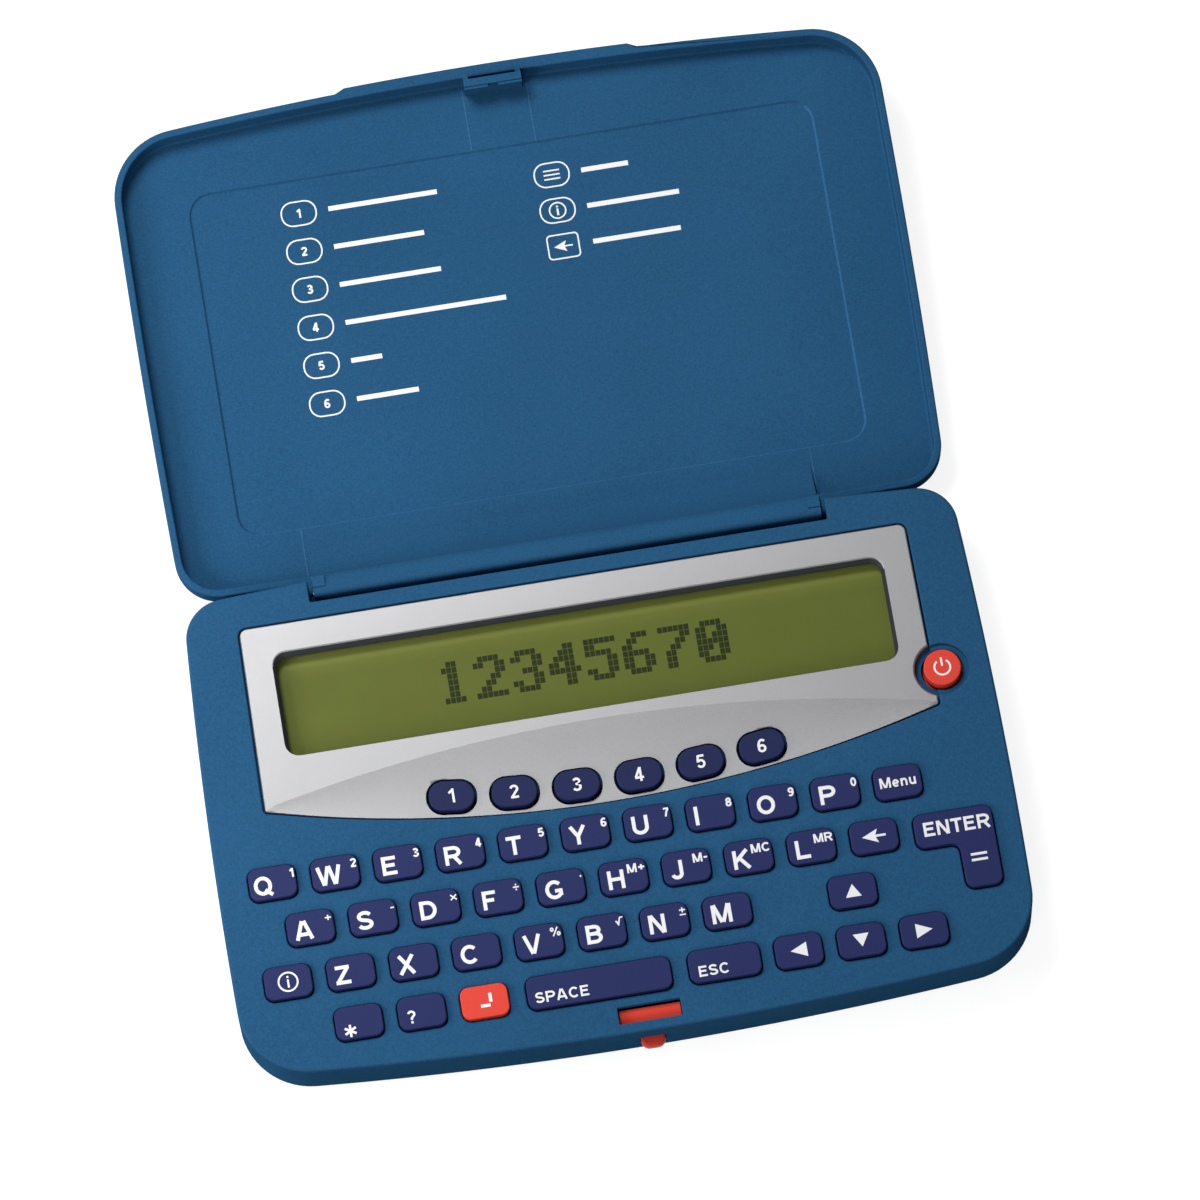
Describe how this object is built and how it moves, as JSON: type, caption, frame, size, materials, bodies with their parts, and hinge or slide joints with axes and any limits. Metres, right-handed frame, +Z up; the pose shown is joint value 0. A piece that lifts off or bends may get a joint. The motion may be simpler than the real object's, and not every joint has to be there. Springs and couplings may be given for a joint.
{
  "type": "electronic spellchecker",
  "caption": "Pocket electronic spellchecker: clamshell case with a hinged lid, letter keys, oval function buttons, one-line display and a sliding latch.",
  "frame": {"origin": "middle of the flat underside of the lower case", "axes": "+X to the user's right, +Y from the user towards the hinge, +Z up out of the keys"},
  "size_m": [0.1256, 0.1643, 0.0136],
  "materials": {
    "case_blue": "fine matte texture",
    "key_navy": "satin",
    "button_red": "satin",
    "bezel_silver": "silver metallic paint",
    "window_clear": "clear plastic",
    "display_glass": "grey-green liquid crystal",
    "board_green": "solder mask",
    "sheet_grey": "matt silicone",
    "steel": "plain"
  },
  "bodies": {
    "case": {"upper_case": "case_blue", "lower_case": "case_blue", "display_bezel": "bezel_silver", "display_window": "window_clear", "lcd_panel": "display_glass", "circuit_board": "board_green", "keypad_membrane": "sheet_grey", "release_spring": "steel", "coin_cell": "steel", "battery_contact": "steel", "hinge_pin": "steel"},
    "lid_body": {"lid": "case_blue"},
    "latch_slider": {"release_button": "button_red"},
    "battery_cover": {"battery_door": "case_blue"},
    "power_button_body": {"power_button": "button_red"},
    "function_button_1_body": {"function_button_1": "key_navy"},
    "function_button_2_body": {"function_button_2": "key_navy"},
    "function_button_3_body": {"function_button_3": "key_navy"},
    "function_button_4_body": {"function_button_4": "key_navy"},
    "function_button_5_body": {"function_button_5": "key_navy"},
    "function_button_6_body": {"function_button_6": "key_navy"},
    "key_q_body": {"key_q": "key_navy"},
    "key_w_body": {"key_w": "key_navy"},
    "key_e_body": {"key_e": "key_navy"},
    "key_r_body": {"key_r": "key_navy"},
    "key_t_body": {"key_t": "key_navy"},
    "key_y_body": {"key_y": "key_navy"},
    "key_u_body": {"key_u": "key_navy"},
    "key_i_body": {"key_i": "key_navy"},
    "key_o_body": {"key_o": "key_navy"},
    "key_p_body": {"key_p": "key_navy"},
    "key_menu_body": {"key_menu": "key_navy"},
    "key_a_body": {"key_a": "key_navy"},
    "key_s_body": {"key_s": "key_navy"},
    "key_d_body": {"key_d": "key_navy"},
    "key_f_body": {"key_f": "key_navy"},
    "key_g_body": {"key_g": "key_navy"},
    "key_h_body": {"key_h": "key_navy"},
    "key_j_body": {"key_j": "key_navy"},
    "key_k_body": {"key_k": "key_navy"},
    "key_l_body": {"key_l": "key_navy"},
    "key_backspace_body": {"key_backspace": "key_navy"},
    "key_information_body": {"key_information": "key_navy"},
    "key_z_body": {"key_z": "key_navy"},
    "key_x_body": {"key_x": "key_navy"},
    "key_c_body": {"key_c": "key_navy"},
    "key_v_body": {"key_v": "key_navy"},
    "key_b_body": {"key_b": "key_navy"},
    "key_n_body": {"key_n": "key_navy"},
    "key_m_body": {"key_m": "key_navy"},
    "key_up_body": {"key_up": "key_navy"},
    "key_star_body": {"key_star": "key_navy"},
    "key_question_body": {"key_question": "key_navy"},
    "key_shift_body": {"key_shift": "button_red"},
    "key_left_body": {"key_left": "key_navy"},
    "key_down_body": {"key_down": "key_navy"},
    "key_right_body": {"key_right": "key_navy"},
    "key_space_body": {"key_space": "key_navy"},
    "key_escape_body": {"key_escape": "key_navy"},
    "key_enter_body": {"key_enter": "key_navy"}
  },
  "joints": [
    {"name": "lid_hinge", "type": "hinge", "parent": "case", "child": "lid_body", "pos_m": [0, 0.0398, 0.0078], "axis": [1, 0, 0], "range_deg": [0, 175]},
    {"name": "release_push", "type": "slide", "parent": "case", "child": "latch_slider", "axis": [0, 1, 0], "range_m": [0, 0.0011], "stiffness_N_per_m": 1200, "deforming": ["release_spring"]},
    {"name": "battery_door_removal", "type": "slide", "parent": "case", "child": "battery_cover", "axis": [0, 0, -1], "range_m": [0, 0.02]},
    {"name": "power_button_press", "type": "slide", "parent": "case", "child": "power_button_body", "axis": [0, 0, -1], "range_m": [0, 0.0008], "stiffness_N_per_m": 700},
    {"name": "function_button_1_press", "type": "slide", "parent": "case", "child": "function_button_1_body", "axis": [0, 0, -1], "range_m": [0, 0.0008], "stiffness_N_per_m": 700},
    {"name": "function_button_2_press", "type": "slide", "parent": "case", "child": "function_button_2_body", "axis": [0, 0, -1], "range_m": [0, 0.0008], "stiffness_N_per_m": 700},
    {"name": "function_button_3_press", "type": "slide", "parent": "case", "child": "function_button_3_body", "axis": [0, 0, -1], "range_m": [0, 0.0008], "stiffness_N_per_m": 700},
    {"name": "function_button_4_press", "type": "slide", "parent": "case", "child": "function_button_4_body", "axis": [0, 0, -1], "range_m": [0, 0.0008], "stiffness_N_per_m": 700},
    {"name": "function_button_5_press", "type": "slide", "parent": "case", "child": "function_button_5_body", "axis": [0, 0, -1], "range_m": [0, 0.0008], "stiffness_N_per_m": 700},
    {"name": "function_button_6_press", "type": "slide", "parent": "case", "child": "function_button_6_body", "axis": [0, 0, -1], "range_m": [0, 0.0008], "stiffness_N_per_m": 700},
    {"name": "key_q_press", "type": "slide", "parent": "case", "child": "key_q_body", "axis": [0, 0, -1], "range_m": [0, 0.0008], "stiffness_N_per_m": 700},
    {"name": "key_w_press", "type": "slide", "parent": "case", "child": "key_w_body", "axis": [0, 0, -1], "range_m": [0, 0.0008], "stiffness_N_per_m": 700},
    {"name": "key_e_press", "type": "slide", "parent": "case", "child": "key_e_body", "axis": [0, 0, -1], "range_m": [0, 0.0008], "stiffness_N_per_m": 700},
    {"name": "key_r_press", "type": "slide", "parent": "case", "child": "key_r_body", "axis": [0, 0, -1], "range_m": [0, 0.0008], "stiffness_N_per_m": 700},
    {"name": "key_t_press", "type": "slide", "parent": "case", "child": "key_t_body", "axis": [0, 0, -1], "range_m": [0, 0.0008], "stiffness_N_per_m": 700},
    {"name": "key_y_press", "type": "slide", "parent": "case", "child": "key_y_body", "axis": [0, 0, -1], "range_m": [0, 0.0008], "stiffness_N_per_m": 700},
    {"name": "key_u_press", "type": "slide", "parent": "case", "child": "key_u_body", "axis": [0, 0, -1], "range_m": [0, 0.0008], "stiffness_N_per_m": 700},
    {"name": "key_i_press", "type": "slide", "parent": "case", "child": "key_i_body", "axis": [0, 0, -1], "range_m": [0, 0.0008], "stiffness_N_per_m": 700},
    {"name": "key_o_press", "type": "slide", "parent": "case", "child": "key_o_body", "axis": [0, 0, -1], "range_m": [0, 0.0008], "stiffness_N_per_m": 700},
    {"name": "key_p_press", "type": "slide", "parent": "case", "child": "key_p_body", "axis": [0, 0, -1], "range_m": [0, 0.0008], "stiffness_N_per_m": 700},
    {"name": "key_menu_press", "type": "slide", "parent": "case", "child": "key_menu_body", "axis": [0, 0, -1], "range_m": [0, 0.0008], "stiffness_N_per_m": 700},
    {"name": "key_a_press", "type": "slide", "parent": "case", "child": "key_a_body", "axis": [0, 0, -1], "range_m": [0, 0.0008], "stiffness_N_per_m": 700},
    {"name": "key_s_press", "type": "slide", "parent": "case", "child": "key_s_body", "axis": [0, 0, -1], "range_m": [0, 0.0008], "stiffness_N_per_m": 700},
    {"name": "key_d_press", "type": "slide", "parent": "case", "child": "key_d_body", "axis": [0, 0, -1], "range_m": [0, 0.0008], "stiffness_N_per_m": 700},
    {"name": "key_f_press", "type": "slide", "parent": "case", "child": "key_f_body", "axis": [0, 0, -1], "range_m": [0, 0.0008], "stiffness_N_per_m": 700},
    {"name": "key_g_press", "type": "slide", "parent": "case", "child": "key_g_body", "axis": [0, 0, -1], "range_m": [0, 0.0008], "stiffness_N_per_m": 700},
    {"name": "key_h_press", "type": "slide", "parent": "case", "child": "key_h_body", "axis": [0, 0, -1], "range_m": [0, 0.0008], "stiffness_N_per_m": 700},
    {"name": "key_j_press", "type": "slide", "parent": "case", "child": "key_j_body", "axis": [0, 0, -1], "range_m": [0, 0.0008], "stiffness_N_per_m": 700},
    {"name": "key_k_press", "type": "slide", "parent": "case", "child": "key_k_body", "axis": [0, 0, -1], "range_m": [0, 0.0008], "stiffness_N_per_m": 700},
    {"name": "key_l_press", "type": "slide", "parent": "case", "child": "key_l_body", "axis": [0, 0, -1], "range_m": [0, 0.0008], "stiffness_N_per_m": 700},
    {"name": "key_backspace_press", "type": "slide", "parent": "case", "child": "key_backspace_body", "axis": [0, 0, -1], "range_m": [0, 0.0008], "stiffness_N_per_m": 700},
    {"name": "key_information_press", "type": "slide", "parent": "case", "child": "key_information_body", "axis": [0, 0, -1], "range_m": [0, 0.0008], "stiffness_N_per_m": 700},
    {"name": "key_z_press", "type": "slide", "parent": "case", "child": "key_z_body", "axis": [0, 0, -1], "range_m": [0, 0.0008], "stiffness_N_per_m": 700},
    {"name": "key_x_press", "type": "slide", "parent": "case", "child": "key_x_body", "axis": [0, 0, -1], "range_m": [0, 0.0008], "stiffness_N_per_m": 700},
    {"name": "key_c_press", "type": "slide", "parent": "case", "child": "key_c_body", "axis": [0, 0, -1], "range_m": [0, 0.0008], "stiffness_N_per_m": 700},
    {"name": "key_v_press", "type": "slide", "parent": "case", "child": "key_v_body", "axis": [0, 0, -1], "range_m": [0, 0.0008], "stiffness_N_per_m": 700},
    {"name": "key_b_press", "type": "slide", "parent": "case", "child": "key_b_body", "axis": [0, 0, -1], "range_m": [0, 0.0008], "stiffness_N_per_m": 700},
    {"name": "key_n_press", "type": "slide", "parent": "case", "child": "key_n_body", "axis": [0, 0, -1], "range_m": [0, 0.0008], "stiffness_N_per_m": 700},
    {"name": "key_m_press", "type": "slide", "parent": "case", "child": "key_m_body", "axis": [0, 0, -1], "range_m": [0, 0.0008], "stiffness_N_per_m": 700},
    {"name": "key_up_press", "type": "slide", "parent": "case", "child": "key_up_body", "axis": [0, 0, -1], "range_m": [0, 0.0008], "stiffness_N_per_m": 700},
    {"name": "key_star_press", "type": "slide", "parent": "case", "child": "key_star_body", "axis": [0, 0, -1], "range_m": [0, 0.0008], "stiffness_N_per_m": 700},
    {"name": "key_question_press", "type": "slide", "parent": "case", "child": "key_question_body", "axis": [0, 0, -1], "range_m": [0, 0.0008], "stiffness_N_per_m": 700},
    {"name": "key_shift_press", "type": "slide", "parent": "case", "child": "key_shift_body", "axis": [0, 0, -1], "range_m": [0, 0.0008], "stiffness_N_per_m": 700},
    {"name": "key_left_press", "type": "slide", "parent": "case", "child": "key_left_body", "axis": [0, 0, -1], "range_m": [0, 0.0008], "stiffness_N_per_m": 700},
    {"name": "key_down_press", "type": "slide", "parent": "case", "child": "key_down_body", "axis": [0, 0, -1], "range_m": [0, 0.0008], "stiffness_N_per_m": 700},
    {"name": "key_right_press", "type": "slide", "parent": "case", "child": "key_right_body", "axis": [0, 0, -1], "range_m": [0, 0.0008], "stiffness_N_per_m": 700},
    {"name": "key_space_press", "type": "slide", "parent": "case", "child": "key_space_body", "axis": [0, 0, -1], "range_m": [0, 0.0008], "stiffness_N_per_m": 700},
    {"name": "key_escape_press", "type": "slide", "parent": "case", "child": "key_escape_body", "axis": [0, 0, -1], "range_m": [0, 0.0008], "stiffness_N_per_m": 700},
    {"name": "key_enter_press", "type": "slide", "parent": "case", "child": "key_enter_body", "axis": [0, 0, -1], "range_m": [0, 0.0008], "stiffness_N_per_m": 700}
  ]
}
